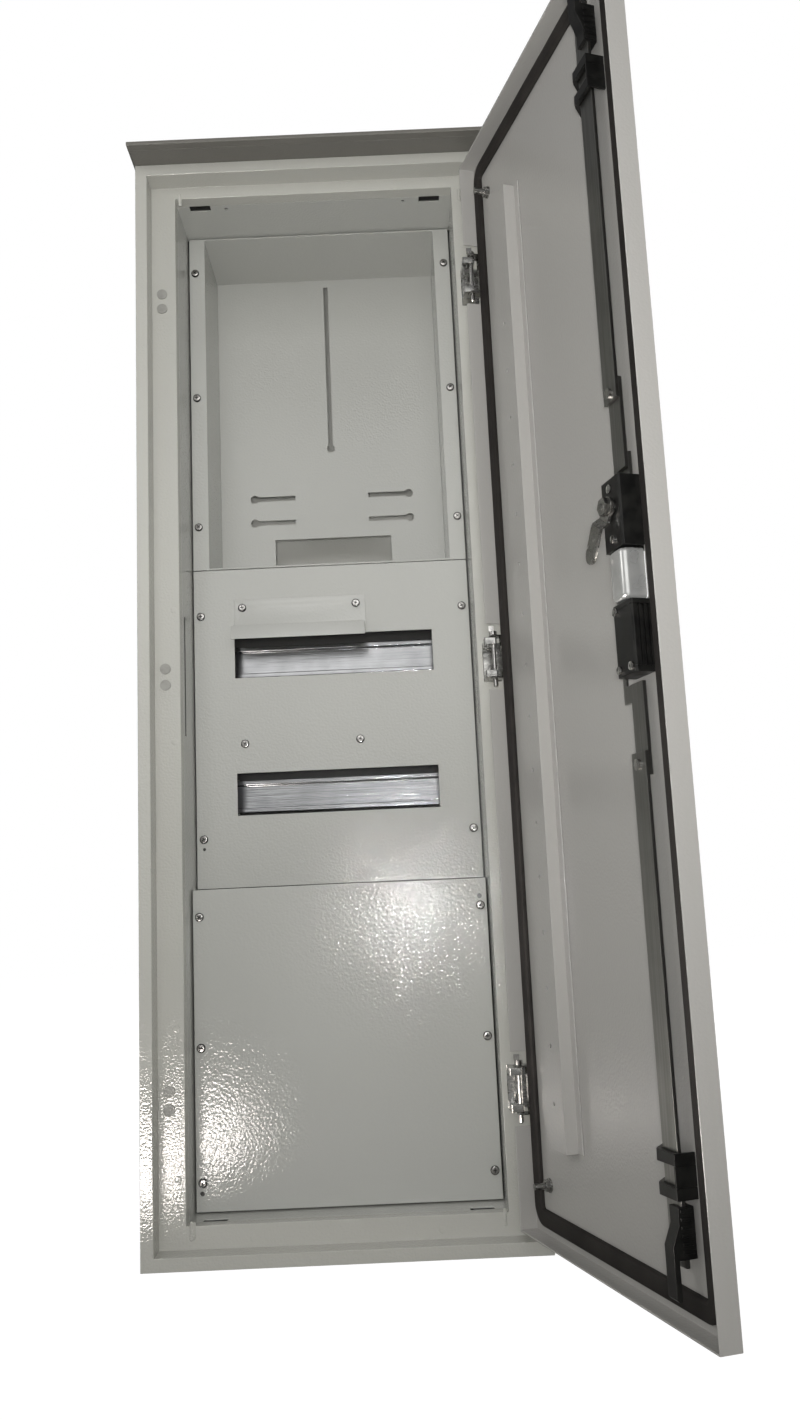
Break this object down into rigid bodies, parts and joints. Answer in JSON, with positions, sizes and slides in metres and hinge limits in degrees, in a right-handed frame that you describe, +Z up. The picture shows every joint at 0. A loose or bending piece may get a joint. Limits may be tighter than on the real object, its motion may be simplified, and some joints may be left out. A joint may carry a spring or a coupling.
{
  "type": "roadside utility cabinet",
  "caption": "Tall roadside utility cabinet of folded sheet steel with rain canopy, deep meter pan, windowed device cover, blank lower cover and a hinged door with rod lock.",
  "frame": {"origin": "middle of the cabinet's base, on the face it stands on", "axes": "+Z up, -Y towards the front opening, +X towards the hinge side"},
  "size_m": [0.4758, 0.5814, 1.16],
  "materials": {
    "powder_grey": "textured powder coat",
    "zinc": "zinc plated",
    "bright_screws": "bright",
    "rail_steel": "zinc plated",
    "black_plastic": "moulded",
    "grey_plastic": "moulded",
    "chrome_dish": "bright",
    "rubber_black": "foam rubber"
  },
  "bodies": {
    "cabinet": {"body_shell": "powder_grey", "cover_rail_left": "powder_grey", "cover_rail_right": "powder_grey", "device_cover": "powder_grey", "device_cover_screws": "bright_screws", "din_rail_lower": "rail_steel", "din_rail_upper": "rail_steel", "front_frame": "powder_grey", "gland_gasket": "rubber_black", "gland_plate": "powder_grey", "gland_screws": "bright_screws", "hinge_bracket_lower": "zinc", "hinge_bracket_middle": "zinc", "hinge_bracket_upper": "zinc", "hinge_hole_plugs": "grey_plastic", "hinge_pins": "zinc", "hinge_screws": "bright_screws", "hood_screws": "bright_screws", "inner_liner": "powder_grey", "lower_cover": "powder_grey", "lower_cover_screws": "bright_screws", "lower_post_left": "powder_grey", "lower_post_right": "powder_grey", "meter_pan": "powder_grey", "pan_screws": "bright_screws", "rail_brackets": "rail_steel", "rail_screws": "bright_screws", "rain_canopy": "powder_grey", "sealing_hood": "powder_grey"},
    "door": {"door_panel": "powder_grey", "door_gasket": "rubber_black", "door_stiffener": "powder_grey", "door_studs": "zinc", "handle_escutcheon": "black_plastic", "handle_dish": "chrome_dish", "handle_clamp": "black_plastic", "lock_screws": "bright_screws", "lock_case": "black_plastic", "rod_guide_lower": "black_plastic", "rod_guide_upper": "black_plastic", "hinge_leaf_lower": "zinc", "hinge_leaf_middle": "zinc", "hinge_leaf_upper": "zinc"},
    "handle_spindle": {"spindle": "zinc", "cam": "zinc", "spindle_nut": "zinc"},
    "handle_lever": {"lever": "black_plastic", "lever_pin": "zinc"},
    "upper_rod_set": {"upper_link": "zinc", "upper_strap": "zinc", "upper_rod": "zinc", "upper_rod_tip": "black_plastic", "upper_rod_screw": "bright_screws"},
    "lower_rod_set": {"lower_link": "zinc", "lower_strap": "zinc", "lower_rod": "zinc", "lower_rod_tip": "black_plastic", "lower_rod_screw": "bright_screws"},
    "key_cylinder": {"key_plug": "zinc"}
  },
  "joints": [
    {"name": "door_hinge", "type": "hinge", "parent": "cabinet", "child": "door", "pos_m": [0.169, -0.125, 0.569], "axis": [0, 0, 1], "range_deg": [-107, 0]},
    {"name": "handle_turn", "type": "hinge", "parent": "door", "child": "handle_spindle", "pos_m": [0.26296, -0.39743, 0.624], "axis": [-0.9563, -0.2924, 0], "range_deg": [0, 90]},
    {"name": "handle_lift", "type": "hinge", "parent": "handle_spindle", "child": "handle_lever", "pos_m": [0.273, -0.39436, 0.624], "axis": [0, 0, -1], "range_deg": [0, 35]},
    {"name": "upper_rod_slide", "type": "slide", "parent": "door", "child": "upper_rod_set", "axis": [0, 0, 1], "range_m": [0, 0.02]},
    {"name": "lower_rod_slide", "type": "slide", "parent": "door", "child": "lower_rod_set", "axis": [0, 0, -1], "range_m": [0, 0.02]},
    {"name": "key_turn", "type": "hinge", "parent": "door", "child": "key_cylinder", "pos_m": [0.26296, -0.39743, 0.508], "axis": [-0.9563, -0.2924, 0], "range_deg": [0, 90]}
  ],
  "couplings": [
    {"joint": "upper_rod_slide", "follows": "handle_turn", "m_per_rad": 0.0127},
    {"joint": "lower_rod_slide", "follows": "handle_turn", "m_per_rad": 0.0127}
  ]
}
